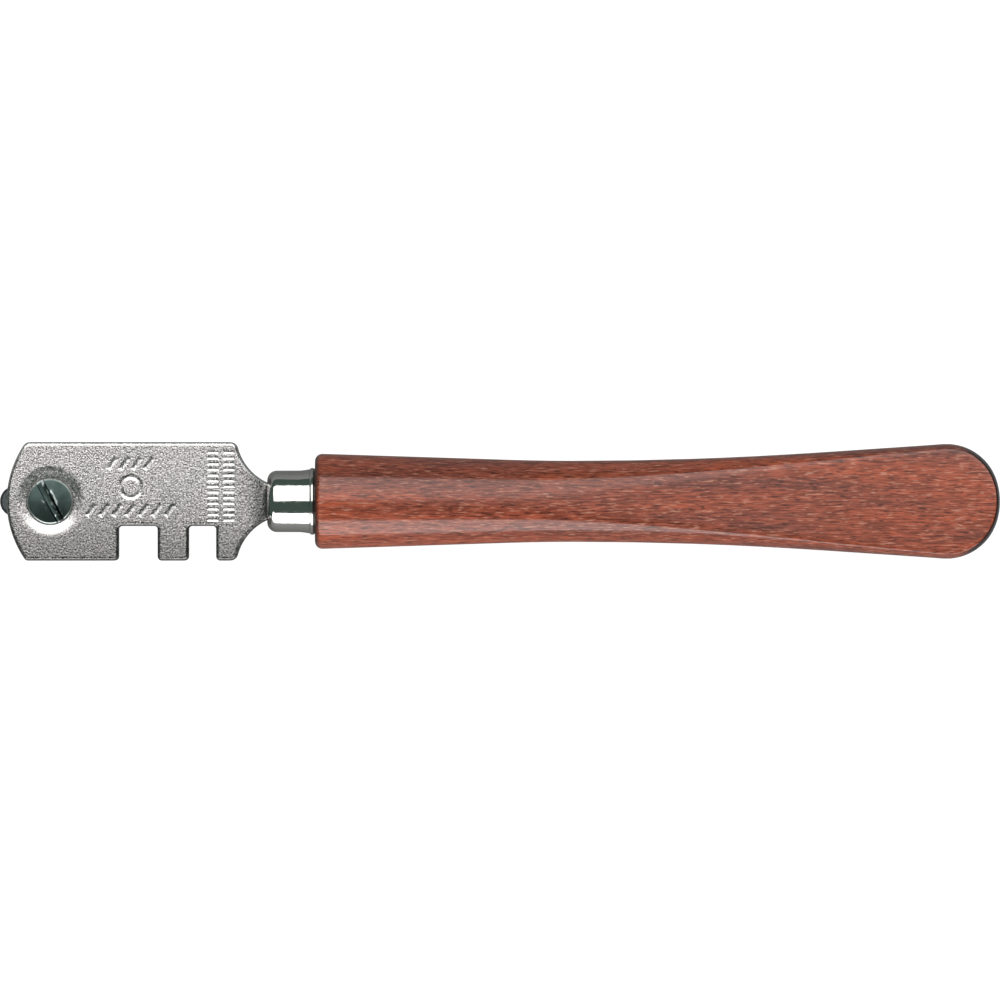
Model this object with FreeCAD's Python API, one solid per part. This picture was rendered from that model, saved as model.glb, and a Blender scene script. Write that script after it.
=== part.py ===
"""Six-wheel glass cutter: a slotted cast head with a turret of cutting wheels, a ferrule and a handle.

X runs from the cutting wheel (-X) to the butt of the handle (+X), Y across the head, with the
glass-breaking notches on -Y, and Z through its thickness, with the clamp screw's head on +Z. Every piece is
built about the tool's long axis and then lifted, so that the handle's shoulder stands on z = 0. Sizes are
in millimetres.
"""

import FreeCAD, Part
import math
import os

# Overall
OVERALL_LENGTH = 130.0
HEAD_HEIGHT = 15.4
HEAD_THICKNESS = 6.4

# Cutting wheels and the pins that they turn on
WHEEL_COUNT = 6
WHEEL_DIAMETER = 4.0
WHEEL_THICKNESS = 1.1
WHEEL_EDGE_ANGLE = 130.0
WHEEL_GAP = 0.6
WHEEL_SIDE_CLEARANCE = 0.1
PIN_DIAMETER = 1.0
PIN_CHAMFER = 0.12
PIN_CLEARANCE = 0.03

# Turret: two riveted discs on a shouldered hub
DISC_THICKNESS = 0.6
DISC_MARGIN = 0.45
HUB_WHEEL_CLEARANCE = 0.3
HUB_SHOULDER = 0.15
HUB_WALL = 0.35
TURRET_SIDE_CLEARANCE = 0.05
TURRET_END_CLEARANCE = 0.3

# Clamp screw and the spring washer under its head
SCREW_DIAMETER = 3.5
SCREW_HEAD_DIAMETER = 5.9
SCREW_HEAD_HEIGHT = 1.1
SCREW_HEAD_ROUNDING = 0.3
SCREW_SLOT_WIDTH = 1.1
SCREW_SLOT_DEPTH = 0.5
SCREW_SLOT_DIRECTION = 118.0
SCREW_TIP_CHAMFER = 0.3
SCREW_TIP_RECESS = 0.2
SCREW_CLEARANCE = 0.04
WASHER_THICKNESS = 0.35
WASHER_WIDTH = 0.95
WASHER_CLEARANCE = 0.1
WASHER_GAP = 0.3
WASHER_GAP_DIRECTION = 205.0
WASHER_GAP_SLANT = 30.0

# Head casting
FRONT_RADIUS = 13.2
FRONT_COVER = 0.1
FRONT_TOP_ROUNDING = 1.1
FRONT_FOOT_ROUNDING = 0.6
SLOT_SAW_RADIUS = 25.0
WEB_LENGTH = 1.95
WIDE_NOTCH = 5.1
MIDDLE_LAND = 4.0
NARROW_NOTCH = 3.6
REAR_LAND = 2.6
NOTCH_DEPTH = 4.5
NOTCH_ROUNDING = 0.45
LIP_ROUNDING = 0.55
SHOULDER_LENGTH = 4.0
SHOULDER_RADIUS = 6.9
SHOULDER_ROUNDING = 1.0
NECK_HEIGHT = 4.9
NECK_THICKNESS = 4.2
EDGE_ROUNDING = 0.5
SEAT_FLOOR = 0.6
SEAT_CLEARANCE = 0.1
DISH_DEPTH = 0.38
DISH_FLARE = 1.3
DISH_LIP_ROUNDING = 2.0
DISH_FOOT_ROUNDING = 0.12
REAR_COUNTERSINK = 0.35

# Plain stamped marks: two rows of slanted bars, a ring between them and two columns of grip bars
STAMP_WALL_ANGLE = 15.0
STAMP_DEPTH = 0.09
STAMP_BAR_LENGTH = 2.0
STAMP_BAR_WIDTH = 0.75
STAMP_BAR_DIRECTION = 55.0
UPPER_ROW_BARS = 4
UPPER_ROW_PITCH = 1.58
UPPER_ROW_Y = 4.9
LOWER_ROW_BARS = 7
LOWER_ROW_PITCH = 1.7
LOWER_ROW_Y = -1.15
RING_DIAMETER = 3.4
RING_GROOVE = 0.75
RING_Y = 1.85
MARKS_FROM_WEB = 1.6
GRIP_BARS = 13
GRIP_BAR_DEPTH = 0.06
GRIP_BAR_LENGTH = 1.6
GRIP_BAR_WIDTH = 0.5
GRIP_BAR_PITCH = 0.73
GRIP_COLUMN_PITCH = 2.05
GRIP_BEFORE_LAND = 0.4
GRIP_Y = 2.0

# Tang
TANG_SHOULDER = 0.35
TANG_LENGTH = 27.0
TANG_TIP_HEIGHT = 2.0
TANG_TIP_THICKNESS = 1.8

# Ferrule
FERRULE_LENGTH = 6.2
FERRULE_DIAMETER = 8.0
FERRULE_WALL = 0.45
FERRULE_FRONT_WALL = 0.6
FERRULE_FRONT_ROUNDING = 1.25
FERRULE_BORE_CORNER = 0.35
FERRULE_FLARE = 0.18
FERRULE_FLARE_LENGTH = 2.1
FERRULE_BEAD_LENGTH = 0.75
FERRULE_BEAD_HEIGHT = 0.17
FERRULE_HOLE_CLEARANCE = 0.05

# Handle
SHOULDER_DIAMETER = 12.36
SHOULDER_CORNER = 0.95
WAIST_DEPTH = 0.91
WAIST_FROM_SHOULDER = 33.5
FRONT_HOLLOW = 0.44
REAR_HOLLOW = 0.88
BUTT_FLARE = 2.18
BUTT_ROUND_LENGTH = 7.4
BUTT_FLATTENING = 1.55
FLAT_THICKNESS_AT_BUTT = 5.0
FLAT_ANGLE = 2.4
PILOT_DIAMETER = 3.0
PILOT_PAST_TANG = 3.0

# Turret sizes that follow from the wheels
wheel_radius = WHEEL_DIAMETER / 2
pin_radius = PIN_DIAMETER / 2
screw_hole_radius = SCREW_DIAMETER / 2 + SCREW_CLEARANCE
circle_round_wheels = (WHEEL_DIAMETER + WHEEL_GAP) / 2 / math.sin(math.pi / WHEEL_COUNT)
circle_round_hub = screw_hole_radius + HUB_WALL + HUB_SHOULDER + HUB_WHEEL_CLEARANCE + wheel_radius
wheel_circle = max(circle_round_wheels, circle_round_hub)
hub_flange_radius = wheel_circle - wheel_radius - HUB_WHEEL_CLEARANCE
hub_spigot_radius = hub_flange_radius - HUB_SHOULDER
turret_reach = wheel_circle + wheel_radius
disc_radius = wheel_circle + pin_radius + DISC_MARGIN
wheel_space = WHEEL_THICKNESS + 2 * WHEEL_SIDE_CLEARANCE
turret_thickness = wheel_space + 2 * DISC_THICKNESS
slot_width = turret_thickness + 2 * TURRET_SIDE_CLEARANCE

# Places along X
tip_x = -OVERALL_LENGTH / 2
butt_x = OVERALL_LENGTH / 2
turret_x = tip_x + turret_reach
front_x = turret_x - disc_radius - FRONT_COVER
slot_end_x = turret_x + turret_reach + TURRET_END_CLEARANCE
wide_notch_x = slot_end_x + WEB_LENGTH
narrow_notch_x = wide_notch_x + WIDE_NOTCH + MIDDLE_LAND
rear_land_x = narrow_notch_x + NARROW_NOTCH
shoulder_x = rear_land_x + REAR_LAND
neck_x = shoulder_x + SHOULDER_LENGTH
handle_x = neck_x + FERRULE_LENGTH
waist_x = handle_x + WAIST_FROM_SHOULDER

# Heights about the long axis, and radii about it and about the screw
tang_height = NECK_HEIGHT - 2 * TANG_SHOULDER
tang_thickness = NECK_THICKNESS - 2 * TANG_SHOULDER
hole_height = tang_height + 2 * FERRULE_HOLE_CLEARANCE
hole_thickness = tang_thickness + 2 * FERRULE_HOLE_CLEARANCE
head_top = HEAD_THICKNESS / 2
seat_z = slot_width / 2 + SEAT_FLOOR
dish_z = head_top - DISH_DEPTH
screw_head_z = seat_z + WASHER_THICKNESS
washer_bore_radius = SCREW_DIAMETER / 2 + WASHER_CLEARANCE
washer_radius = washer_bore_radius + WASHER_WIDTH
seat_radius = max(SCREW_HEAD_DIAMETER / 2, washer_radius) + SEAT_CLEARANCE
waist_radius = SHOULDER_DIAMETER / 2 - WAIST_DEPTH
butt_radius = waist_radius + BUTT_FLARE
butt_end_radius = butt_radius + BUTT_FLATTENING
rest_height = SHOULDER_DIAMETER / 2

# How far cutting solids run past what they cut, and how closely an edge is matched to its place
CUT_PAST = 1.0
CLOSE = 1e-4

MIDDLE = FreeCAD.Vector(0, 0, 0)
ALONG = FreeCAD.Vector(1, 0, 0)
ACROSS = FreeCAD.Vector(0, 1, 0)
UP = FreeCAD.Vector(0, 0, 1)


def in_plan(x, y):
    """A point of the plan view, on the tool's middle plane."""
    return FreeCAD.Vector(x, y, 0)


def in_side(x, z):
    """A point of the side view. A profile that is spun about the long axis uses z as its radius."""
    return FreeCAD.Vector(x, 0, z)


def outline(place, start, *steps):
    """A closed face. Each step is a point to go straight to, or a (through, end) pair for an arc."""
    edges = []
    here = start
    for step in (*steps, start):
        if isinstance(step[0], tuple):
            through, end = step
            edges.append(Part.Arc(place(*here), place(*through), place(*end)).toShape())
        else:
            end = step
            if end != here:
                edges.append(Part.makeLine(place(*here), place(*end)))
        here = end
    return Part.Face(Part.Wire(edges))


def arc_about(centre, start, end):
    """The (through, end) step of an arc from start to end about centre, the short way round."""
    radius = math.dist(centre, start)
    middle = [(s + e) / 2 - c for s, e, c in zip(start, end, centre)]
    size = math.hypot(*middle)
    return tuple(c + radius * m / size for c, m in zip(centre, middle)), end


def arc_centre(start, end, radius):
    """The centre of a circle of this radius through both points, on the left going from start to end."""
    half = [(e - s) / 2 for s, e in zip(start, end)]
    reach = math.hypot(*half)
    offset = math.sqrt(radius**2 - reach**2) / reach
    return (start[0] + half[0] - half[1] * offset, start[1] + half[1] + half[0] * offset)


def spun(face, axis=ALONG):
    return face.revolve(MIDDLE, axis, 360)


def rod(radius, low, high, x=turret_x, y=0.0):
    """A cylinder that stands along Z from low to high."""
    return Part.makeCylinder(radius, high - low, FreeCAD.Vector(x, y, low), UP)


def cone(low_radius, high_radius, low, high, x=turret_x, y=0.0):
    """A cone that stands along Z from low to high."""
    return Part.makeCone(low_radius, high_radius, high - low, FreeCAD.Vector(x, y, low), UP)


def block(x, y, z):
    """A box from three (low, high) pairs."""
    sizes = [high - low for low, high in (x, y, z)]
    return Part.makeBox(*sizes, FreeCAD.Vector(x[0], y[0], z[0]))


def is_upright(edge):
    run = edge.Vertexes[-1].Point - edge.Vertexes[0].Point
    return math.hypot(run.x, run.y) < CLOSE < abs(run.z)


def edges_at(shape, x, y):
    """The edges whose middle lies at (x, y) in plan."""
    return [e for e in shape.Edges if math.hypot(e.CenterOfMass.x - x, e.CenterOfMass.y - y) < CLOSE]


def rings_at(shape, z, x=turret_x, y=0.0):
    """The circular edges about an upright axis through (x, y), at height z."""
    found = [e for e in edges_at(shape, x, y) if isinstance(e.Curve, Part.Circle)]
    return [e for e in found if abs(e.CenterOfMass.z - z) < CLOSE]


def round_corners(shape, corners):
    """Rounds the upright edges at these (x, y): radius corners."""
    for (x, y), radius in corners.items():
        shape = shape.makeFillet(radius, [e for e in edges_at(shape, x, y) if is_upright(e)])
    return shape


def wheel_places():
    """(x, y) of each wheel's axle. The first points straight ahead."""
    turns = [math.pi + n * 2 * math.pi / WHEEL_COUNT for n in range(WHEEL_COUNT)]
    return [(turret_x + wheel_circle * math.cos(a), wheel_circle * math.sin(a)) for a in turns]


def head_plan():
    """The head's plan: a bowed front, straight long edges and hollow shoulders that run in to the neck."""
    half = HEAD_HEIGHT / 2
    neck = NECK_HEIGHT / 2
    front_centre = (front_x + FRONT_RADIUS, 0.0)
    corner_x = front_centre[0] - math.sqrt(FRONT_RADIUS**2 - half**2)
    upper = ((shoulder_x, half), (neck_x, neck))
    lower = ((neck_x, -neck), (shoulder_x, -half))
    plan = outline(
        in_plan,
        (corner_x, half),
        upper[0],
        arc_about(arc_centre(*upper, SHOULDER_RADIUS), *upper),
        lower[0],
        arc_about(arc_centre(*lower, SHOULDER_RADIUS), *lower),
        (corner_x, -half),
        arc_about(front_centre, (corner_x, -half), (corner_x, half)),
    )
    corners = {
        (corner_x, half): FRONT_TOP_ROUNDING,
        (corner_x, -half): FRONT_FOOT_ROUNDING,
        (shoulder_x, half): SHOULDER_ROUNDING,
        (shoulder_x, -half): SHOULDER_ROUNDING,
    }
    return plan, corners


def head_side():
    """The head's side view: flat to the shoulders, then easing down to the thinner neck."""
    top = head_top
    neck = NECK_THICKNESS / 2
    drop = top - neck
    run = neck_x - shoulder_x
    ease_radius = (run**2 + drop**2) / (2 * drop)
    start_x = front_x - CUT_PAST
    return outline(
        in_side,
        (start_x, top),
        (shoulder_x, top),
        arc_about((shoulder_x, top - ease_radius), (shoulder_x, top), (neck_x, neck)),
        (neck_x, -neck),
        arc_about((shoulder_x, ease_radius - top), (neck_x, -neck), (shoulder_x, -top)),
        (start_x, -top),
    )


def head_plate():
    """The head's body with its notches and rounded edges, before the slot and the holes are cut."""
    plan, corners = head_plan()
    foot = -HEAD_HEIGHT / 2
    notch_top = foot + NOTCH_DEPTH
    plan.translate(FreeCAD.Vector(0, 0, -head_top))
    plate = round_corners(plan.extrude(UP * HEAD_THICKNESS), corners)
    for low_x, width in ((wide_notch_x, WIDE_NOTCH), (narrow_notch_x, NARROW_NOTCH)):
        sides = (low_x, low_x + width)
        plate = plate.cut(block(sides, (foot - CUT_PAST, notch_top), (-head_top, head_top)))
        plate = round_corners(plate, {(x, notch_top): NOTCH_ROUNDING for x in sides})
        plate = round_corners(plate, {(x, foot): LIP_ROUNDING for x in sides})
    side = head_side()
    side.translate(ACROSS * -HEAD_HEIGHT)
    plate = plate.common(side.extrude(ACROSS * 2 * HEAD_HEIGHT))
    rims = [e for e in plate.Edges if not is_upright(e) and e.CenterOfMass.x < neck_x - CLOSE]
    return plate.makeFillet(EDGE_ROUNDING, rims)


def rectangle(centre, side, other_side):
    """The outline of a rectangle, from its centre and the vectors along two of its sides."""
    corners = ((-1, -1), (1, -1), (1, 1), (-1, 1), (-1, -1))
    return Part.makePolygon([centre + side * (a / 2) + other_side * (b / 2) for a, b in corners])


def tang():
    """The square spike that is driven into the handle, a little smaller than the neck at its root."""
    root = rectangle(in_side(neck_x, 0), ACROSS * tang_height, UP * tang_thickness)
    tip = rectangle(in_side(neck_x + TANG_LENGTH, 0), ACROSS * TANG_TIP_HEIGHT, UP * TANG_TIP_THICKNESS)
    return Part.makeLoft([root, tip], True, True)


def stamp_row(count, pitch, x, y):
    """A row of slanted bars about (x, y)."""
    places = [x + (n - (count - 1) / 2) * pitch for n in range(count)]
    size = (STAMP_BAR_LENGTH, STAMP_BAR_WIDTH, STAMP_DEPTH)
    return [stamp_bar(place, y, *size, STAMP_BAR_DIRECTION) for place in places]


def stamp_bar(x, y, length, width, depth, direction=0.0):
    """The solid that a bar-shaped punch presses out, with sides that slope in to a narrow floor."""
    slope = 2 * stamp_slope(depth)
    top = FreeCAD.Vector(x, y, head_top)
    lip = rectangle(top, ALONG * length, ACROSS * width)
    floor = rectangle(top - UP * depth, ALONG * (length - slope), ACROSS * (width - slope))
    bar = Part.makeLoft([floor, lip], True, True)
    bar.rotate(top, UP, direction)
    return bar


def stamp_ring(x, y):
    """The solid that a ring-shaped punch presses out."""
    outer = RING_DIAMETER / 2
    inner = outer - RING_GROOVE
    slope = stamp_slope(STAMP_DEPTH)
    floor_z = head_top - STAMP_DEPTH
    groove = outline(
        in_side, (inner, head_top), (inner + slope, floor_z), (outer - slope, floor_z), (outer, head_top)
    )
    ring = spun(groove, axis=UP)
    ring.translate(in_plan(x, y))
    return ring


def stamp_slope(depth):
    """How far a stamped wall of this depth runs in."""
    return depth / math.tan(math.radians(STAMP_WALL_ANGLE))


def stamps():
    """The shallow marks in the front face, as one group of cutting solids."""
    middle_x = wide_notch_x + MARKS_FROM_WEB
    made = [stamp_ring(middle_x, RING_Y)]
    made += stamp_row(UPPER_ROW_BARS, UPPER_ROW_PITCH, middle_x, UPPER_ROW_Y)
    made += stamp_row(LOWER_ROW_BARS, LOWER_ROW_PITCH, middle_x, LOWER_ROW_Y)
    first_column_x = rear_land_x - GRIP_BEFORE_LAND
    for x in (first_column_x, first_column_x + GRIP_COLUMN_PITCH):
        for n in range(GRIP_BARS):
            y = GRIP_Y + (n - (GRIP_BARS - 1) / 2) * GRIP_BAR_PITCH
            made.append(stamp_bar(x, y, GRIP_BAR_LENGTH, GRIP_BAR_WIDTH, GRIP_BAR_DEPTH))
    return Part.Compound(made)


def screw_dish():
    """The counterbore that the screw's head and washer sit in, with the shallow dish round its mouth."""
    counterbore = rod(seat_radius, seat_z, dish_z)
    return counterbore.fuse(cone(seat_radius, seat_radius + DISH_FLARE, dish_z, head_top))


def head_casting():
    head = head_plate().cut(screw_dish())
    head = head.makeFillet(DISH_LIP_ROUNDING, rings_at(head, head_top))
    head = head.makeFillet(DISH_FOOT_ROUNDING, rings_at(head, dish_z))
    saw_x = slot_end_x - SLOT_SAW_RADIUS
    countersink = cone(
        screw_hole_radius + REAR_COUNTERSINK, screw_hole_radius, -head_top, REAR_COUNTERSINK - head_top
    )
    for tool in (
        rod(SLOT_SAW_RADIUS, -slot_width / 2, slot_width / 2, saw_x),
        rod(screw_hole_radius, -head_top, head_top),
        countersink,
        stamps(),
    ):
        head = head.cut(tool)
    return head.fuse(tang())


def turret_disc(low):
    disc = rod(disc_radius, low, low + DISC_THICKNESS)
    disc = disc.cut(rod(hub_spigot_radius, low, low + DISC_THICKNESS))
    for x, y in wheel_places():
        disc = disc.cut(rod(pin_radius, low, low + DISC_THICKNESS, x, y))
    return disc


def turret_hub():
    """The bush that keeps the discs apart: a flange between them and a spigot through each."""
    half = turret_thickness / 2
    flange = rod(hub_flange_radius, -wheel_space / 2, wheel_space / 2)
    spigots = rod(hub_spigot_radius, -half, half)
    return flange.fuse(spigots).cut(rod(screw_hole_radius, -half, half)).removeSplitter()


def cutting_wheel(x, y):
    """A disc that is ground to a blunt V at its rim."""
    half = WHEEL_THICKNESS / 2
    bevel = half / math.tan(math.radians(WHEEL_EDGE_ANGLE / 2))
    bore = pin_radius + PIN_CLEARANCE
    section = outline(
        in_side,
        (bore, -half),
        (wheel_radius - bevel, -half),
        (wheel_radius, 0.0),
        (wheel_radius - bevel, half),
        (bore, half),
    )
    wheel = spun(section, axis=UP)
    wheel.translate(in_plan(x, y))
    return wheel


def axle_pin(x, y):
    half = turret_thickness / 2
    pin = rod(pin_radius, -half, half, x, y)
    return pin.makeChamfer(PIN_CHAMFER, rings_at(pin, half, x, y) + rings_at(pin, -half, x, y))


def clamp_screw():
    """A cheese-head screw. Its plain shank stands for the thread, at the thread's outer diameter."""
    head_radius = SCREW_HEAD_DIAMETER / 2
    top = screw_head_z + SCREW_HEAD_HEIGHT
    head = rod(head_radius, screw_head_z, top)
    head = head.makeFillet(SCREW_HEAD_ROUNDING, rings_at(head, top))
    slot = block(
        (-SCREW_HEAD_DIAMETER, SCREW_HEAD_DIAMETER),
        (-SCREW_SLOT_WIDTH / 2, SCREW_SLOT_WIDTH / 2),
        (top - SCREW_SLOT_DEPTH, top),
    )
    slot.rotate(MIDDLE, UP, SCREW_SLOT_DIRECTION)
    slot.translate(in_plan(turret_x, 0))
    tip = SCREW_TIP_RECESS - head_top
    shank = rod(SCREW_DIAMETER / 2, tip, screw_head_z)
    shank = shank.makeChamfer(SCREW_TIP_CHAMFER, rings_at(shank, tip))
    return head.cut(slot).fuse(shank).removeSplitter()


def spring_washer():
    """A split ring, drawn as flat as the tightened screw presses it."""
    ring = rod(washer_radius, seat_z, screw_head_z).cut(rod(washer_bore_radius, seat_z, screw_head_z))
    reach = 2 * washer_radius
    gap = block((0, reach), (-WASHER_GAP / 2, WASHER_GAP / 2), (-reach, reach))
    gap.rotate(MIDDLE, ALONG, WASHER_GAP_SLANT)
    gap.rotate(MIDDLE, UP, WASHER_GAP_DIRECTION)
    gap.translate(FreeCAD.Vector(turret_x, 0, (seat_z + screw_head_z) / 2))
    return ring.cut(gap)


def ferrule_bore_points():
    """(x, radius) along the ferrule's bore, which the handle's spigot fills."""
    radius = FERRULE_DIAMETER / 2 - FERRULE_WALL
    corner = min(FERRULE_BORE_CORNER, radius - math.hypot(hole_height, hole_thickness) / 2)
    start_x = neck_x + FERRULE_FRONT_WALL
    return (
        (start_x, radius - corner),
        (start_x + corner, radius),
        (handle_x - FERRULE_FLARE_LENGTH, radius),
        (handle_x, radius + FERRULE_FLARE),
    )


def ferrule():
    """A drawn cap with a punched square hole, a flared mouth and a rolled bead that meets the handle."""
    radius = FERRULE_DIAMETER / 2
    flare_x = handle_x - FERRULE_FLARE_LENGTH
    bead_x = handle_x - FERRULE_BEAD_LENGTH
    mouth_radius = radius + FERRULE_FLARE
    bead_top = ((bead_x + handle_x) / 2, mouth_radius + FERRULE_BEAD_HEIGHT)
    corner_x = neck_x + FERRULE_FRONT_ROUNDING
    corner_centre = (corner_x, radius - FERRULE_FRONT_ROUNDING)
    front_edge = (neck_x, radius - FERRULE_FRONT_ROUNDING)
    bore = ferrule_bore_points()
    section = outline(
        in_side,
        (neck_x, 0.0),
        front_edge,
        arc_about(corner_centre, front_edge, (corner_x, radius)),
        (flare_x, radius),
        (bead_x, mouth_radius),
        (bead_top, (handle_x, mouth_radius)),
        *reversed(bore),
        (bore[0][0], 0.0),
    )
    hole = block(
        (neck_x, neck_x + FERRULE_FRONT_WALL),
        (-hole_height / 2, hole_height / 2),
        (-hole_thickness / 2, hole_thickness / 2),
    )
    return spun(section).cut(hole)


def handle_blank():
    """The turned handle: spigot, rounded shoulder, hollow grip and domed butt."""
    bore = ferrule_bore_points()
    shoulder = SHOULDER_DIAMETER / 2
    waist = (waist_x, waist_radius)
    grip_start = (handle_x + SHOULDER_CORNER, shoulder)
    corner_centre = (grip_start[0], shoulder - SHOULDER_CORNER)
    corner_start = (handle_x, shoulder - SHOULDER_CORNER)
    flare_end = (butt_x - BUTT_ROUND_LENGTH, butt_radius)
    front_hollow, front_centre = hollow_start(grip_start, waist, FRONT_HOLLOW)
    rear_hollow, rear_centre = hollow_start(flare_end, waist, REAR_HOLLOW)
    dome_centre, blend, end_centre = butt_dome(rear_hollow, flare_end)
    return spun(
        outline(
            in_side,
            (bore[0][0], 0.0),
            *bore,
            corner_start,
            arc_about(corner_centre, corner_start, grip_start),
            front_hollow,
            arc_about(front_centre, front_hollow, waist),
            arc_about(rear_centre, waist, rear_hollow),
            flare_end,
            arc_about(dome_centre, flare_end, blend),
            arc_about(end_centre, blend, (butt_x, 0.0)),
        )
    )


def hollow_start(end, waist, share):
    """Where the straight taper from end meets the waist's arc, and the arc's centre.

    The arc is level at the waist. With a share of 1 it would reach end itself, and leave no straight taper.
    """
    run, rise = end[0] - waist[0], end[1] - waist[1]
    radius = share * (run**2 + rise**2) / (2 * rise)
    centre = (waist[0], waist[1] + radius)
    down = centre[1] - end[1]
    side = math.copysign(1, run)
    angle = math.acos(radius / math.hypot(run, down)) - math.atan2(abs(run), down)
    return (centre[0] - side * radius * math.sin(angle), centre[1] - radius * math.cos(angle)), centre


def butt_dome(flare_start, flare_end):
    """The dome's corner arc, tangent to the straight flare and to the flatter arc at the very end."""
    end_centre = (butt_x - butt_end_radius, 0.0)
    flare_length = math.dist(flare_start, flare_end)
    out_x = (flare_start[1] - flare_end[1]) / flare_length
    out_r = (flare_end[0] - flare_start[0]) / flare_length
    run, rise = flare_end[0] - end_centre[0], flare_end[1] - end_centre[1]
    free = butt_end_radius**2 - run**2 - rise**2
    corner = free / (2 * (butt_end_radius - run * out_x - rise * out_r))
    centre = (flare_end[0] - corner * out_x, flare_end[1] - corner * out_r)
    gap = math.dist(centre, end_centre)
    blend = tuple(e + (c - e) * butt_end_radius / gap for c, e in zip(centre, end_centre))
    return centre, blend, end_centre


def handle_flat():
    """The wedge above one of the two long flats, which meet the grip near its waist."""
    past_butt = butt_x + CUT_PAST
    slope = math.tan(math.radians(FLAT_ANGLE))
    low = FLAT_THICKNESS_AT_BUTT / 2 - CUT_PAST * slope
    high = FLAT_THICKNESS_AT_BUTT / 2 + (butt_x - handle_x) * slope
    clear = 2 * butt_end_radius
    wedge = outline(in_side, (handle_x, high), (past_butt, low), (past_butt, clear), (handle_x, clear))
    wedge.translate(ACROSS * -clear)
    return wedge.extrude(ACROSS * 2 * clear)


def handle():
    """The finished handle, with its pilot hole and the square seat that the driven tang leaves in it."""
    upper = handle_flat()
    lower = upper.copy()
    lower.rotate(MIDDLE, ALONG, 180)
    pilot_start = neck_x + FERRULE_FRONT_WALL
    pilot_end = neck_x + TANG_LENGTH + PILOT_PAST_TANG
    pilot = Part.makeCylinder(PILOT_DIAMETER / 2, pilot_end - pilot_start, in_side(pilot_start, 0), ALONG)
    shape = handle_blank()
    for tool in (upper, lower, pilot, tang()):
        shape = shape.cut(tool)
    return shape


def make_nodes():
    disc_low = wheel_space / 2
    nodes = {
        "head_casting": head_casting(),
        "turret_front_disc": turret_disc(disc_low),
        "turret_rear_disc": turret_disc(-disc_low - DISC_THICKNESS),
        "turret_hub": turret_hub(),
        "clamp_screw": clamp_screw(),
        "spring_washer": spring_washer(),
        "ferrule": ferrule(),
        "handle": handle(),
    }
    for n, (x, y) in enumerate(wheel_places(), start=1):
        nodes[f"cutting_wheel_{n}"] = cutting_wheel(x, y)
        nodes[f"axle_pin_{n}"] = axle_pin(x, y)
    return nodes


def main():
    os.makedirs("parts", exist_ok=True)
    for name, shape in make_nodes().items():
        shape.translate(UP * rest_height)
        print(f"{name}: {len(shape.Solids)} solid, {shape.Volume:.2f} mm3, valid {shape.isValid()}")
        shape.exportStep(f"parts/{name}.step")


main()
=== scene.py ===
"""The looks of a six-wheel glass cutter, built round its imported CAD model. All sizes are in metres.

X runs from the cutting wheel (-X) to the butt of the handle (+X), Y from the notched edge of the head to its
plain edge, and Z up through the clamp screw's head.
"""

import math

import bmesh
import bpy
from mathutils import Matrix, Vector

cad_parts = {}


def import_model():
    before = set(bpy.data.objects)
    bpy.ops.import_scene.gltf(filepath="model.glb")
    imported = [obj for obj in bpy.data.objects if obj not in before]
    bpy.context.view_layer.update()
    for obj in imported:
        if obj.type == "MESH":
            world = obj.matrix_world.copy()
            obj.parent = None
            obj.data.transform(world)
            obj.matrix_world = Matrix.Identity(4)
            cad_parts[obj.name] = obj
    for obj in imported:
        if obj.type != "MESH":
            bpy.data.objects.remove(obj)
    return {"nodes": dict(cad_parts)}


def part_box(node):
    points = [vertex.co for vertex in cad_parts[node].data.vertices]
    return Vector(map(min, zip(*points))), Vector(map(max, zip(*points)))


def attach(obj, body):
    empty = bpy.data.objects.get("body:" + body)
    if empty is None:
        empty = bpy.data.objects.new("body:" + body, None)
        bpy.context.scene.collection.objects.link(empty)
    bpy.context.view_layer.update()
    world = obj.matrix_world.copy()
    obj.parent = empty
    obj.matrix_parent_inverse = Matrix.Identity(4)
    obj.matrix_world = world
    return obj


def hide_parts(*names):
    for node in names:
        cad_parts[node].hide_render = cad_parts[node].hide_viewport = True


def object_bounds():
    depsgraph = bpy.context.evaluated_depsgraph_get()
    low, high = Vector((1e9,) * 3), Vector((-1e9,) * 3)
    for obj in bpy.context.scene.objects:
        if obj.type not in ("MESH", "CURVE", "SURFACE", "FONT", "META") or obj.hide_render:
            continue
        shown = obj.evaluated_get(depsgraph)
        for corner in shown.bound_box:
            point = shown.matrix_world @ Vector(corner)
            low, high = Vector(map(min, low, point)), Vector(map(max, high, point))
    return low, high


MM = 0.001
WHEELS = 6

TOUCHING = 1e-7  # closer together than this is the same place

# Handle. Its flats are read at two distances from the butt, and its stations keep clear of its corners.
HANDLE_STATIONS = 150
HANDLE_SIDES = 144
FLAT_READ_AT = (60 * MM, 12 * MM)
FLAT_EDGE_ROUNDING = 0.16 * MM
CORNER_CLEARANCE = 0.01 * MM
FRONT_SOAK = 1.6
BUTT_SOAK = 0.85

# Ferrule. Its straight wall is read in front of the flare, and its mouth in front of the bead.
FERRULE_SIDES = 128
FERRULE_WALL_READ_AT = 0.5 * MM
FERRULE_MOUTH_READ_AT = 0.01 * MM
FERRULE_WALL = 0.45 * MM
FERRULE_FRONT_WALL = 0.6 * MM
FERRULE_FRONT_ROUNDING = 1.25 * MM
FERRULE_BORE_CORNER = 0.35 * MM
FERRULE_FLARE_LENGTH = 2.1 * MM
FERRULE_BEAD_LENGTH = 0.75 * MM
FERRULE_FLARE_STEPS = 8
FERRULE_FLARE_EASE = 1.6
FERRULE_CREASE = 0.05 * MM
FERRULE_CREASE_SHARE = 0.08
FERRULE_BEAD_STEPS = 16
FERRULE_BEAD_FULLNESS = 0.7
TANG_HOLE = (4.3 * MM, 3.6 * MM)

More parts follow.
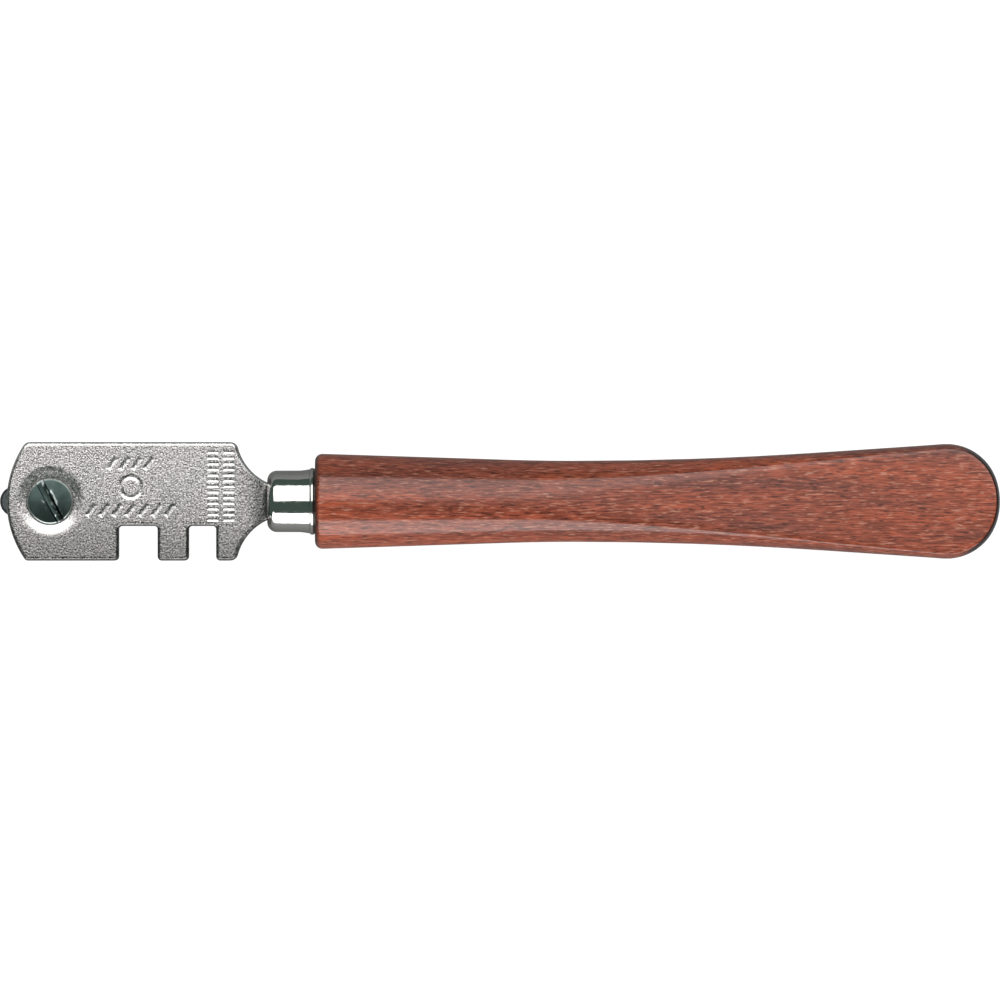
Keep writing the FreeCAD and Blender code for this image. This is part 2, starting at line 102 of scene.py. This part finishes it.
# Clamp screw
SCREW_SLOT_WIDTH = 1.1 * MM
SCREW_SLOT_DEPTH = 0.5 * MM
SCREW_SLOT_DIRECTION = math.radians(118)
SCREW_HEAD_HEIGHT = 1.1 * MM
SCREW_HEAD_ROUNDING = 0.3 * MM
SCREW_HEAD_SIDES = 96
SCREW_LIP_BREAK = 0.05 * MM
SCREW_RADIUS = 1.75 * MM
THREAD_PITCH = 0.6 * MM
THREAD_DEPTH = 0.37 * MM
THREAD_SIDES = 40
# Where along one pitch the thread's root, flanks and crest begin and end.
THREAD_FLANK_STARTS = 0.12
THREAD_CREST_STARTS = 0.45
THREAD_CREST_ENDS = 0.57
THREAD_FLANK_ENDS = 0.9

# Cutting wheels
WHEEL_BORE_RADIUS = 0.53 * MM
WHEEL_BEVEL_LENGTH = 0.256 * MM
WHEEL_EDGE_BREAK = 0.04 * MM
WHEEL_SIDES = 72

# Camera and light. A softbox stands at the angle middle, in degrees from overhead towards +Y.
LENS = 600.0
SENSOR = 36.0
AXIS_BELOW_MIDDLE = 0.17 * MM
KEY_SOFTBOX = {"middle": 31, "spread": 60, "distance": 0.42, "length": 0.7, "radiance": 2.05}
LOW_SOFTBOX = {"middle": -68, "spread": 44, "distance": 0.45, "length": 0.9, "radiance": 3.0}
ROOM_STRENGTH = 0.19
FLOOR_SIZE = 3.0
FLOOR_GLOW = 0.93


# ---------------------------------------------------------------- small helpers


def linear(hex_colour):
    """An sRGB hex colour as linear RGBA."""
    channels = [int(hex_colour[i : i + 2], 16) / 255 for i in (1, 3, 5)]
    return (*[c / 12.92 if c <= 0.04045 else ((c + 0.055) / 1.055) ** 2.4 for c in channels], 1.0)


def add(tree, kind, inputs=None, out=0, **settings):
    """Adds a node and returns one of its outputs. inputs gives a socket to link or a value for each input."""
    made = tree.nodes.new(kind)
    for name, value in settings.items():
        setattr(made, name, value)
    for name, value in (inputs or {}).items():
        if isinstance(value, bpy.types.NodeSocket):
            tree.links.new(value, made.inputs[name])
        else:
            made.inputs[name].default_value = value
    return made.outputs[out]


def new_material(name, metallic, roughness):
    """A material with its node tree and its Principled shader."""
    material = bpy.data.materials.new(name)
    material.use_nodes = True
    tree = material.node_tree
    shader = tree.nodes["Principled BSDF"]
    shader.inputs["Metallic"].default_value = metallic
    shader.inputs["Roughness"].default_value = roughness
    return material, tree, shader


def finish_piece(bm, name, material, body, replaced, smooth_angle=40):
    """Makes a piece of a bmesh, shades it, and hands it to the frame."""
    bmesh.ops.recalc_face_normals(bm, faces=bm.faces)
    mesh = bpy.data.meshes.new(name)
    bm.to_mesh(mesh)
    bm.free()
    mesh.polygons.foreach_set("use_smooth", [True] * len(mesh.polygons))
    mesh.set_sharp_from_angle(angle=math.radians(smooth_angle))
    mesh.materials.append(material)
    piece = bpy.data.objects.new(name, mesh)
    bpy.context.scene.collection.objects.link(piece)
    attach(piece, body)
    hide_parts(replaced)
    return piece


def spun_profile(points, sides, axis, centre):
    """A closed surface of revolution about an axis, from (along, radius) points that end on the axis."""
    bm = bmesh.new()
    side = Vector((0, 1, 0)) if axis.x else Vector((1, 0, 0))
    verts = [bm.verts.new(centre + axis * along + side * radius) for along, radius in points]
    edges = [bm.edges.new(pair) for pair in zip(verts, verts[1:])]
    bmesh.ops.spin(
        bm, geom=verts + edges, cent=centre, axis=axis, angle=math.tau, steps=sides, use_merge=True
    )
    bmesh.ops.remove_doubles(bm, verts=bm.verts, dist=TOUCHING)
    return bm


def arc(centre, radius, start, end, steps):
    """Points along an arc, by angles in degrees."""
    angles = [math.radians(start + (end - start) * n / steps) for n in range(steps + 1)]
    return [(centre[0] + radius * math.cos(a), centre[1] + radius * math.sin(a)) for a in angles]


def paint(nodes, names, material):
    """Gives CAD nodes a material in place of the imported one."""
    for name in names:
        nodes[name].data.materials.clear()
        nodes[name].data.materials.append(material)


# ---------------------------------------------------------------- materials


def plated_casting(neck_x):
    """Matte nickel plate over a sand-grained casting: grey, with a sparkle from every grain.

    Rounded edges leaning to the plain side carry a painted highlight and those leaning to the notched side
    painted shade; painted shade also darkens the plate near the notched edge and the neck.
    """
    material, tree, shader = new_material("nickel_plated_casting", 1.0, 0.3)
    place = add(tree, "ShaderNodeTexCoord", out="Object")
    facing = add(tree, "ShaderNodeTexCoord", out="Normal")
    # The sand's grain is about 0.1 mm, drawn at 0.2 mm so that it shows.
    grain = add(tree, "ShaderNodeTexNoise", {"Vector": place, "Scale": 1 / (0.2 * MM), "Detail": 2.0})
    pits = add(tree, "ShaderNodeTexNoise", {"Vector": place, "Scale": 1 / (0.5 * MM), "Detail": 3.0})
    cloud = add(tree, "ShaderNodeTexNoise", {"Vector": place, "Scale": 1 / (5 * MM), "Detail": 2.0})
    plate = add(
        tree, "ShaderNodeMix", {0: cloud, 6: linear("#D3CBCC"), 7: linear("#BAB8B5")}, out=2, data_type="RGBA"
    )
    across = add(tree, "ShaderNodeSeparateXYZ", {"Vector": place}, out="Y")
    along = add(tree, "ShaderNodeSeparateXYZ", {"Vector": place}, out="X")
    # Painted shade: the plate darkens near the notched edge and near the neck.
    low = add(
        tree, "ShaderNodeMapRange",
        {"Value": across, "From Min": 2.5 * MM, "From Max": -6.5 * MM, "To Min": 0.97, "To Max": 0.54},
    )
    painted_neck_shade = add(
        tree, "ShaderNodeMapRange",
        {"Value": along, "From Min": neck_x - 6 * MM, "From Max": neck_x, "To Min": 0.95, "To Max": 0.52},
    )
    painted_falloff = add(tree, "ShaderNodeMath", {0: low, 1: painted_neck_shade}, operation="MINIMUM")
    speckle = add(
        tree, "ShaderNodeMapRange",
        {"Value": grain, "From Min": 0.38, "From Max": 0.62, "To Min": 0.35, "To Max": 1.4},
    )
    shade = add(tree, "ShaderNodeMath", {0: painted_falloff, 1: speckle}, operation="MULTIPLY")
    grained = add(
        tree, "ShaderNodeMix", {0: 1.0, 6: plate, 7: shade}, out=2, data_type="RGBA", blend_type="MULTIPLY"
    )
    # Painted highlight on rounded edges that lean to the plain side, where the key softbox is, and painted
    # shade on those that lean to the notched side.
    tilt = add(tree, "ShaderNodeSeparateXYZ", {"Vector": facing}, out="Y")
    rise = add(tree, "ShaderNodeSeparateXYZ", {"Vector": facing}, out="Z")
    level = add(tree, "ShaderNodeMath", {0: rise}, operation="ABSOLUTE")
    off_wall = add(tree, "ShaderNodeMapRange", {"Value": level, "From Min": 0.1, "From Max": 0.35})
    lit_side = add(tree, "ShaderNodeMapRange", {"Value": tilt, "From Min": 0.12, "From Max": 0.3})
    shaded_side = add(
        tree, "ShaderNodeMapRange", {"Value": tilt, "From Min": -0.3, "From Max": -0.6, "To Max": 0.75}
    )
    bright_edges = add(tree, "ShaderNodeMath", {0: lit_side, 1: off_wall}, operation="MULTIPLY")
    painted_shade_edges = add(tree, "ShaderNodeMath", {0: shaded_side, 1: off_wall}, operation="MULTIPLY")
    bright = add(
        tree, "ShaderNodeMix", {0: bright_edges, 6: grained, 7: linear("#F4F2F0")}, out=2, data_type="RGBA"
    )
    colour = add(
        tree, "ShaderNodeMix", {0: painted_shade_edges, 6: bright, 7: linear("#2A2C2C")}, out=2, data_type="RGBA"
    )
    coarse = add(tree, "ShaderNodeBump", {"Height": pits, "Strength": 1.0, "Distance": 0.03 * MM})
    normal = add(
        tree, "ShaderNodeBump", {"Height": grain, "Strength": 1.0, "Distance": 0.05 * MM, "Normal": coarse}
    )
    gloss = add(
        tree, "ShaderNodeMapRange",
        {"Value": pits, "From Min": 0.3, "From Max": 0.7, "To Min": 0.2, "To Max": 0.34},
    )
    tree.links.new(colour, shader.inputs["Base Color"])
    tree.links.new(gloss, shader.inputs["Roughness"])
    tree.links.new(normal, shader.inputs["Normal"])
    return material


def bright_nickel():
    """Mirror-bright nickel plate over drawn brass: sharp reflections, a little wavy from the drawing."""
    material, tree, shader = new_material("mirror_bright_nickel", 1.0, 0.1)
    place = add(tree, "ShaderNodeTexCoord", out="Object")
    wave = add(tree, "ShaderNodeTexNoise", {"Vector": place, "Scale": 1 / (1.8 * MM), "Detail": 2.0})
    smear = add(tree, "ShaderNodeTexNoise", {"Vector": place, "Scale": 1 / (0.5 * MM), "Detail": 4.0})
    gloss = add(
        tree, "ShaderNodeMapRange",
        {"Value": smear, "From Min": 0.4, "From Max": 0.75, "To Min": 0.06, "To Max": 0.16},
    )
    normal = add(tree, "ShaderNodeBump", {"Height": wave, "Strength": 1.0, "Distance": 0.03 * MM})
    tree.links.new(gloss, shader.inputs["Roughness"])
    tree.links.new(normal, shader.inputs["Normal"])
    shader.inputs["Base Color"].default_value = linear("#DDDCD8")
    return material


def blackened_steel(centre, rim):
    """Oil-blackened steel: near black with a green cast, worn bright round the rim and by the slot."""
    material, tree, shader = new_material("oil_blackened_steel", 1.0, 0.34)
    place = add(tree, "ShaderNodeTexCoord", out="Object")
    out_from = add(tree, "ShaderNodeVectorMath", {0: place, 1: centre}, operation="SUBTRACT")
    turned = add(tree, "ShaderNodeMapping", {"Vector": out_from, "Rotation": (0, 0, -SCREW_SLOT_DIRECTION)})
    across = add(tree, "ShaderNodeSeparateXYZ", {"Vector": turned}, out="Y")
    from_slot = add(tree, "ShaderNodeMath", {0: across}, operation="ABSOLUTE")
    edge = SCREW_SLOT_WIDTH / 2
    near_slot = add(
        tree, "ShaderNodeMapRange",
        {"Value": from_slot, "From Min": edge, "From Max": edge + 0.45 * MM, "To Min": 1.0, "To Max": 0.0},
    )
    # The nicks run along the slot, so their noise is stretched that way.
    run = add(tree, "ShaderNodeMapping", {"Vector": turned, "Scale": (0.45, 1, 1)})
    spots = add(tree, "ShaderNodeTexNoise", {"Vector": run, "Scale": 1 / (0.5 * MM), "Detail": 1.0})
    nick = add(tree, "ShaderNodeMapRange", {"Value": spots, "From Min": 0.58, "From Max": 0.64})
    nicked = add(tree, "ShaderNodeMath", {0: near_slot, 1: nick}, operation="MULTIPLY")
    level = add(tree, "ShaderNodeVectorMath", {0: out_from, 1: (1, 1, 0)}, operation="MULTIPLY")
    reach = add(tree, "ShaderNodeVectorMath", {0: level}, out="Value", operation="LENGTH")
    bright_edges = add(
        tree, "ShaderNodeMapRange",
        {"Value": reach, "From Min": rim - 0.22 * MM, "From Max": rim - 0.1 * MM, "To Max": 0.8},
    )
    worn = add(tree, "ShaderNodeMath", {0: nicked, 1: bright_edges}, operation="MAXIMUM")
    cloud = add(tree, "ShaderNodeTexNoise", {"Vector": place, "Scale": 1 / (1.2 * MM), "Detail": 4.0})
    black = add(
        tree, "ShaderNodeMix", {0: cloud, 6: linear("#2C3836"), 7: linear("#55625F")}, out=2, data_type="RGBA"
    )
    colour = add(tree, "ShaderNodeMix", {0: worn, 6: black, 7: linear("#DDE3E0")}, out=2, data_type="RGBA")
    normal = add(tree, "ShaderNodeBump", {"Height": cloud, "Strength": 1.0, "Distance": 0.012 * MM})
    tree.links.new(colour, shader.inputs["Base Color"])
    tree.links.new(normal, shader.inputs["Normal"])
    return material


def turned_steel(name, hex_dark, hex_light, roughness):
    """Plain turned or punched steel with a faint grain."""
    material, tree, shader = new_material(name, 1.0, roughness)
    place = add(tree, "ShaderNodeTexCoord", out="Object")
    grain = add(tree, "ShaderNodeTexNoise", {"Vector": place, "Scale": 1 / (0.3 * MM), "Detail": 3.0})
    colour = add(
        tree, "ShaderNodeMix", {0: grain, 6: linear(hex_dark), 7: linear(hex_light)}, out=2, data_type="RGBA"
    )
    normal = add(tree, "ShaderNodeBump", {"Height": grain, "Strength": 1.0, "Distance": 0.002 * MM})
    tree.links.new(colour, shader.inputs["Base Color"])
    tree.links.new(normal, shader.inputs["Normal"])
    return material


def stained_beech():
    """Beech stained red-brown under satin lacquer: fine fibres, short dark rays, end grain soaked dark."""
    material, tree, shader = new_material("stained_lacquered_beech", 0.0, 0.5)
    place = add(tree, "ShaderNodeTexCoord", out="Object")
    # Along X, bands and fibres are drawn twelve times as long as they are wide, and rays seven times.
    grainwise = add(tree, "ShaderNodeMapping", {"Vector": place, "Scale": (1 / 12, 1, 1)})
    bands = add(tree, "ShaderNodeTexNoise", {"Vector": grainwise, "Scale": 1 / (3 * MM), "Detail": 3.0})
    fibres = add(tree, "ShaderNodeTexNoise", {"Vector": grainwise, "Scale": 1 / (0.22 * MM), "Detail": 3.0})
    # Real rays are about 0.1 mm wide, drawn at 0.2 mm so that they show.
    flecks = add(tree, "ShaderNodeMapping", {"Vector": place, "Scale": (1 / 7, 1, 1)})
    rays = add(tree, "ShaderNodeTexNoise", {"Vector": flecks, "Scale": 1 / (0.2 * MM), "Detail": 1.0})
    ray = add(
        tree, "ShaderNodeMapRange",
        {"Value": rays, "From Min": 0.31, "From Max": 0.41, "To Min": 0.8, "To Max": 0.0},
    )
    glint = add(
        tree, "ShaderNodeMapRange",
        {"Value": rays, "From Min": 0.6, "From Max": 0.7, "To Min": 0.0, "To Max": 0.55},
    )
    band = add(tree, "ShaderNodeMapRange", {"Value": bands, "From Min": 0.36, "From Max": 0.64})
    ground = add(
        tree, "ShaderNodeMix", {0: band, 6: linear("#9C4A31"), 7: linear("#7A4033")}, out=2, data_type="RGBA"
    )
    depth = add(
        tree, "ShaderNodeMapRange",
        {"Value": fibres, "From Min": 0.32, "From Max": 0.68, "To Min": 0.55, "To Max": 1.5},
    )
    fibred = add(
        tree, "ShaderNodeMix", {0: 1.0, 6: ground, 7: depth}, out=2, data_type="RGBA", blend_type="MULTIPLY"
    )
    rayed = add(tree, "ShaderNodeMix", {0: ray, 6: fibred, 7: linear("#3C1D18")}, out=2, data_type="RGBA")
    lit = add(tree, "ShaderNodeMix", {0: glint, 6: rayed, 7: linear("#C98F78")}, out=2, data_type="RGBA")
    end_grain = add(tree, "ShaderNodeAttribute", out="Fac", attribute_name="end_grain")
    soak = add(
        tree, "ShaderNodeMapRange",
        {"Value": end_grain, "From Min": 0.3, "From Max": 0.75, "To Min": 0.0, "To Max": 0.95},
    )
    colour = add(tree, "ShaderNodeMix", {0: soak, 6: lit, 7: linear("#170C0B")}, out=2, data_type="RGBA")
    normal = add(tree, "ShaderNodeBump", {"Height": fibres, "Strength": 1.0, "Distance": 0.01 * MM})
    tree.links.new(colour, shader.inputs["Base Color"])
    tree.links.new(normal, shader.inputs["Normal"])
    shader.inputs["Specular IOR Level"].default_value = 0.05
    shader.inputs["Coat Weight"].default_value = 1.0
    shader.inputs["Coat Roughness"].default_value = 0.16
    return material


# ---------------------------------------------------------------- pieces


def section(node, x):
    """(half-width in Y, half-height in Z) of a CAD node's cross-section at x, about the long axis."""
    bm = bmesh.new()
    bm.from_mesh(node.data)
    cut = bmesh.ops.bisect_plane(
        bm, geom=bm.verts[:] + bm.edges[:] + bm.faces[:], plane_co=(x, 0, 0), plane_no=(1, 0, 0)
    )
    found = [v.co.copy() for v in cut["geom_cut"] if isinstance(v, bmesh.types.BMVert)]
    bm.free()
    return max(v.y for v in found), (max(v.z for v in found) - min(v.z for v in found)) / 2


def soft_min(a, b, rounding):
    """The lesser of two heights, eased where they are close."""
    top = max(a, b)
    low = min(a, b)
    return low - rounding * math.log1p(math.exp((low - top) / rounding))


def make_handle(frame, axis_z, material):
    """The turned handle, with its two flats sanded to soft edges."""
    node = frame["nodes"]["handle"]
    low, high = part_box("handle")
    flat_from, flat_to = (high.x - distance for distance in FLAT_READ_AT)
    flat_at = [section(node, x)[1] for x in (flat_from, flat_to)]
    slope = (flat_at[1] - flat_at[0]) / (flat_to - flat_from)
    shoulder_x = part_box("ferrule")[1].x
    flare_x = shoulder_x - FERRULE_FLARE_LENGTH
    spigot = [low.x + CORNER_CLEARANCE, low.x + FERRULE_BORE_CORNER, flare_x, shoulder_x - CORNER_CLEARANCE]
    # Stations bunch up towards the two ends, where the outline turns fastest.
    length = high.x - shoulder_x - 2 * CORNER_CLEARANCE
    eased = [(1 - math.cos(math.pi * n / HANDLE_STATIONS)) / 2 for n in range(HANDLE_STATIONS + 1)]
    grip = [shoulder_x + CORNER_CLEARANCE + length * e for e in eased]
    points = [(low.x, 0.0)]
    points += [(x, section(node, x)[0]) for x in spigot + grip]
    points.append((high.x, 0.0))
    bm = spun_profile(points, HANDLE_SIDES, Vector((1, 0, 0)), Vector((0, 0, axis_z)))
    for v in bm.verts:
        reach = flat_at[0] + slope * (v.co.x - flat_from)
        height = v.co.z - axis_z
        if v.co.x > shoulder_x:
            v.co.z = axis_z + math.copysign(soft_min(abs(height), reach, FLAT_EDGE_ROUNDING), height)
    bm.normal_update()
    # The square-cut front soaks up more of the stain than the rubbed butt does.
    end_grain = bm.verts.layers.float.new("end_grain")
    for v in bm.verts:
        v[end_grain] = max(-FRONT_SOAK * v.normal.x, BUTT_SOAK * v.normal.x)
    return finish_piece(bm, "turned_handle", material, "head", "handle")


def make_ferrule(frame, axis_z, material):
    """The drawn cap: rounded front, flared mouth, a crease and a rolled bead, with the tang's square hole."""
    node = frame["nodes"]["ferrule"]
    low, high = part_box("ferrule")
    flare_x = high.x - FERRULE_FLARE_LENGTH
    bead_x = high.x - FERRULE_BEAD_LENGTH
    radius = section(node, flare_x - FERRULE_WALL_READ_AT)[0]
    mouth = section(node, bead_x - FERRULE_MOUTH_READ_AT)[0]
    bead_height = (high.z - low.z) / 2 - mouth
    corner = (low.x + FERRULE_FRONT_ROUNDING, radius - FERRULE_FRONT_ROUNDING)
    front = low.x + FERRULE_FRONT_WALL
    bore = radius - FERRULE_WALL
    hole = math.hypot(*TANG_HOLE) / 2
    outline = [(front, hole), (low.x, hole)]
    outline += arc(corner, FERRULE_FRONT_ROUNDING, start=180, end=90, steps=16)
    # The flare swells out of the straight wall on an easy curve, and ends in a crease before the bead.
    for n in range(1, FERRULE_FLARE_STEPS + 1):
        share = n / FERRULE_FLARE_STEPS
        swell = (mouth - radius) * share**FERRULE_FLARE_EASE
        outline.append((flare_x + (bead_x - flare_x) * share, radius + swell))
    outline.append((bead_x + FERRULE_CREASE, mouth - FERRULE_CREASE))
    for n in range(1, FERRULE_BEAD_STEPS):
        share = n / FERRULE_BEAD_STEPS
        swell = bead_height * math.sin(math.pi * share) ** FERRULE_BEAD_FULLNESS
        along = FERRULE_CREASE_SHARE + (1 - FERRULE_CREASE_SHARE) * share
        outline.append((bead_x + FERRULE_BEAD_LENGTH * along, mouth + swell))
    outline += [(high.x, mouth), (high.x, bore + mouth - radius), (flare_x, bore)]
    outline += [(front + FERRULE_BORE_CORNER, bore), (front, bore - FERRULE_BORE_CORNER), (front, hole)]
    bm = spun_profile(outline, FERRULE_SIDES, Vector((1, 0, 0)), Vector((0, 0, axis_z)))
    half_y, half_z = (side / 2 for side in TANG_HOLE)
    for v in bm.verts:
        y, z = v.co.y, v.co.z - axis_z
        if math.hypot(y, z) < hole + 10 * TOUCHING:
            scale = min(half_y / max(abs(y), TOUCHING), half_z / max(abs(z), TOUCHING))
            v.co.y, v.co.z = y * scale, axis_z + z * scale
    return finish_piece(bm, "drawn_ferrule", material, "head", "ferrule", smooth_angle=50)


def make_screw():
    """The cheese-head screw: a slotted head over a rolled thread."""
    low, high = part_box("clamp_screw")
    centre = Vector(((low.x + high.x) / 2, (low.y + high.y) / 2, 0))
    radius = (high.x - low.x) / 2
    material = blackened_steel(centre, radius)
    under = high.z - SCREW_HEAD_HEIGHT
    bm = bmesh.new()
    bmesh.ops.create_circle(bm, cap_ends=True, radius=radius, segments=SCREW_HEAD_SIDES)
    for side in (-1, 1):
        bmesh.ops.bisect_plane(
            bm, geom=bm.verts[:] + bm.edges[:] + bm.faces[:],
            plane_co=(0, side * SCREW_SLOT_WIDTH / 2, 0), plane_no=(0, 1, 0),
        )
    bmesh.ops.translate(bm, vec=(0, 0, under), verts=bm.verts)
    floor = high.z - SCREW_SLOT_DEPTH
    raised = bmesh.ops.extrude_face_region(bm, geom=bm.faces[:], use_keep_orig=True)
    verts = [g for g in raised["geom"] if isinstance(g, bmesh.types.BMVert)]
    bmesh.ops.translate(bm, vec=(0, 0, floor - under), verts=verts)
    lands = [
        g for g in raised["geom"]
        if isinstance(g, bmesh.types.BMFace) and abs(g.calc_center_median().y) > SCREW_SLOT_WIDTH / 2
    ]
    topped = bmesh.ops.extrude_face_region(bm, geom=lands)
    verts = [g for g in topped["geom"] if isinstance(g, bmesh.types.BMVert)]
    bmesh.ops.translate(bm, vec=(0, 0, high.z - floor), verts=verts)
    # The slot's two lips also end on the rim, and are told from it by their length.
    rim = [
        e for e in bm.edges
        if all(v.co.z > high.z - TOUCHING and v.co.xy.length > radius - 10 * TOUCHING for v in e.verts)
        and (e.verts[0].co - e.verts[1].co).length < radius / 4
    ]
    bmesh.ops.bevel(
        bm, geom=rim, offset=SCREW_HEAD_ROUNDING, affect="EDGES", segments=4, profile=0.5, material=-1
    )
    lips = [
        e for e in bm.edges
        if all(v.co.z > high.z - TOUCHING for v in e.verts)
        and all(abs(abs(v.co.y) - SCREW_SLOT_WIDTH / 2) < TOUCHING for v in e.verts)
    ]
    bmesh.ops.bevel(
        bm, geom=lips, offset=SCREW_LIP_BREAK, affect="EDGES", segments=2, profile=0.5, material=-1
    )
    add_thread(bm, low.z, under)
    turn = Matrix.Rotation(SCREW_SLOT_DIRECTION, 4, "Z")
    bmesh.ops.transform(bm, matrix=Matrix.Translation(centre) @ turn, verts=bm.verts)
    return finish_piece(
        bm, "slotted_screw", material, "screw", "clamp_screw", smooth_angle=30
    )


def add_thread(bm, low_z, high_z):
    """A right-hand thread about Z from low_z up to high_z, its ends cut square and closed."""
    thread = bmesh.new()
    turns = math.ceil((high_z - low_z) / THREAD_PITCH) + 2
    start = low_z - THREAD_PITCH
    root = SCREW_RADIUS - THREAD_DEPTH
    profile = [
        (root, 0.0), (root, THREAD_FLANK_STARTS), (SCREW_RADIUS, THREAD_CREST_STARTS),
        (SCREW_RADIUS, THREAD_CREST_ENDS), (root, THREAD_FLANK_ENDS), (root, 1.0),
    ]
    verts = [thread.verts.new((r, 0, start + THREAD_PITCH * share)) for r, share in profile]
    edges = [thread.edges.new(pair) for pair in zip(verts, verts[1:])]
    steps = THREAD_SIDES * turns
    bmesh.ops.spin(
        thread, geom=verts + edges, axis=(0, 0, 1), cent=(0, 0, 0), angle=math.tau * turns, steps=steps,
        dvec=(0, 0, THREAD_PITCH * turns / steps),
    )
    bmesh.ops.remove_doubles(thread, verts=thread.verts, dist=TOUCHING)
    for z, outward in ((low_z, -1), (high_z, 1)):
        bmesh.ops.bisect_plane(
            thread, geom=thread.verts[:] + thread.edges[:] + thread.faces[:],
            plane_co=(0, 0, z), plane_no=(0, 0, outward), clear_outer=True,
        )
    bmesh.ops.holes_fill(thread, edges=thread.edges, sides=0)
    mesh = bpy.data.meshes.new("thread")
    thread.to_mesh(mesh)
    thread.free()
    bm.from_mesh(mesh)
    bpy.data.meshes.remove(mesh)


def make_wheels(material):
    """The ground cutting wheels, each on its own body."""
    for n in range(1, WHEELS + 1):
        low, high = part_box(f"cutting_wheel_{n}")
        centre = Vector(((low.x + high.x) / 2, (low.y + high.y) / 2, (low.z + high.z) / 2))
        radius = (high.y - low.y) / 2
        half = (high.z - low.z) / 2
        flat = radius - WHEEL_BEVEL_LENGTH
        bore = WHEEL_BORE_RADIUS
        brk = WHEEL_EDGE_BREAK
        outline = [
            (-half + brk, bore), (-half, bore + brk), (-half, flat - brk), (-half + brk, flat),
            (0.0, radius), (half - brk, flat), (half, flat - brk), (half, bore + brk),
            (half - brk, bore), (-half + brk, bore),
        ]
        bm = spun_profile(outline, WHEEL_SIDES, Vector((0, 0, 1)), centre)
        replaced = f"cutting_wheel_{n}"
        finish_piece(
            bm, f"ground_wheel_{n}", material, f"wheel_{n}", replaced, smooth_angle=20
        )


# ---------------------------------------------------------------- stage


def make_floor():
    """A large sheet of paper at z = 0 that the camera sees as clean white."""
    bm = bmesh.new()
    bmesh.ops.create_grid(bm, x_segments=1, y_segments=1, size=FLOOR_SIZE)
    mesh = bpy.data.meshes.new("floor")
    bm.to_mesh(mesh)
    bm.free()
    floor = bpy.data.objects.new("floor", mesh)
    bpy.context.scene.collection.objects.link(floor)
    material, tree, shader = new_material("white_paper", 0.0, 0.9)
    # Its white is a glow for the camera alone, over grey paper, so that it throws little light at the tool.
    seen = add(tree, "ShaderNodeLightPath", out="Is Camera Ray")
    glow = add(tree, "ShaderNodeMath", {0: seen, 1: FLOOR_GLOW}, operation="MULTIPLY")
    tree.links.new(glow, shader.inputs["Emission Strength"])
    shader.inputs["Emission Color"].default_value = linear("#FFFFFF")
    shader.inputs["Base Color"].default_value = linear("#808080")
    floor.data.materials.append(material)


def add_softbox(name, target, middle, spread, distance, length, radiance):
    """A softbox along X. spread is the angle in degrees that it fills, as seen from the target."""
    width = 2 * distance * math.tan(math.radians(spread) / 2)
    light = bpy.data.lights.new(name, "AREA")
    light.shape = "RECTANGLE"
    light.size = length
    light.size_y = width
    light.energy = radiance * math.pi * length * width
    softbox = bpy.data.objects.new(name, light)
    angle = math.radians(middle)
    softbox.location = target + Vector((0, math.sin(angle), math.cos(angle))) * distance
    softbox.rotation_euler = (-angle, 0, 0)
    softbox.visible_camera = False
    bpy.context.scene.collection.objects.link(softbox)


def make_light(target):
    """A softbox over the plain edge's side, a low one on the notched side, and a dim greenish room."""
    add_softbox("key_softbox", target, **KEY_SOFTBOX)
    add_softbox("low_softbox", target, **LOW_SOFTBOX)
    world = bpy.data.worlds.new("studio")
    world.use_nodes = True
    world.node_tree.nodes["Background"].inputs["Color"].default_value = linear("#9DBDB2")
    world.node_tree.nodes["Background"].inputs["Strength"].default_value = ROOM_STRENGTH
    bpy.context.scene.world = world
    bpy.context.scene.view_settings.view_transform = "Standard"


def make_camera(low, high, axis_z):
    """A long lens looking straight down, with the tool filling the width."""
    data = bpy.data.cameras.new("camera")
    data.lens = LENS
    data.sensor_width = SENSOR
    camera = bpy.data.objects.new("camera", data)
    distance = (high.x - low.x) * LENS / SENSOR
    camera.location = ((low.x + high.x) / 2, AXIS_BELOW_MIDDLE, axis_z + distance)
    bpy.context.scene.collection.objects.link(camera)
    bpy.context.scene.camera = camera


def main():
    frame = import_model()
    cad_low, cad_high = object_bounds()
    nodes = frame["nodes"]
    axis_z = sum(corner.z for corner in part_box("ferrule")) / 2
    make_camera(cad_low, cad_high, axis_z)
    make_light(Vector((0, 0, axis_z)))
    make_floor()

    bright_steel = turned_steel("turned_bright_steel", "#8C8D8E", "#BDBEBF", 0.28)
    paint(nodes, ["head_casting"], plated_casting(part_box("ferrule")[0].x))
    paint(nodes, ["spring_washer"], turned_steel("dark_spring_steel", "#3A3B3C", "#5E6061", 0.4))
    paint(nodes, ["turret_front_disc", "turret_rear_disc", "turret_hub"], bright_steel)
    paint(nodes, [f"axle_pin_{n}" for n in range(1, WHEELS + 1)], bright_steel)
    make_handle(frame, axis_z, stained_beech())
    make_ferrule(frame, axis_z, bright_nickel())
    make_screw()
    make_wheels(turned_steel("ground_hardened_steel", "#3E4446", "#6C7173", 0.2))


main()
